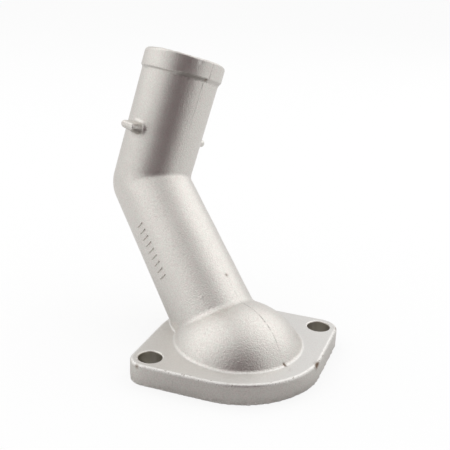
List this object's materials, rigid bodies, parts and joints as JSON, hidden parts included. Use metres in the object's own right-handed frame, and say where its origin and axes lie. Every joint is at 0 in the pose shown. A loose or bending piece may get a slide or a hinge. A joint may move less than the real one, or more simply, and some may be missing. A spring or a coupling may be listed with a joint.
{
  "type": "coolant flange",
  "caption": "Cast aluminium water outlet: a two-bolt flange with a hollow dome over the thermostat space and a bent, beaded hose pipe.",
  "frame": {"origin": "centre of the part's box on the plane of the gasket face", "axes": "+Z out of the flange's top face, away from the engine; X along the line of the two bolt holes; +Y towards the side that the pipe leans to"},
  "size_m": [0.0856, 0.114, 0.1101],
  "materials": {
    "cast_aluminium": "blasted casting, matt"
  },
  "bodies": {
    "root": {"coolant_flange_casting": "cast_aluminium"}
  },
  "joints": []
}
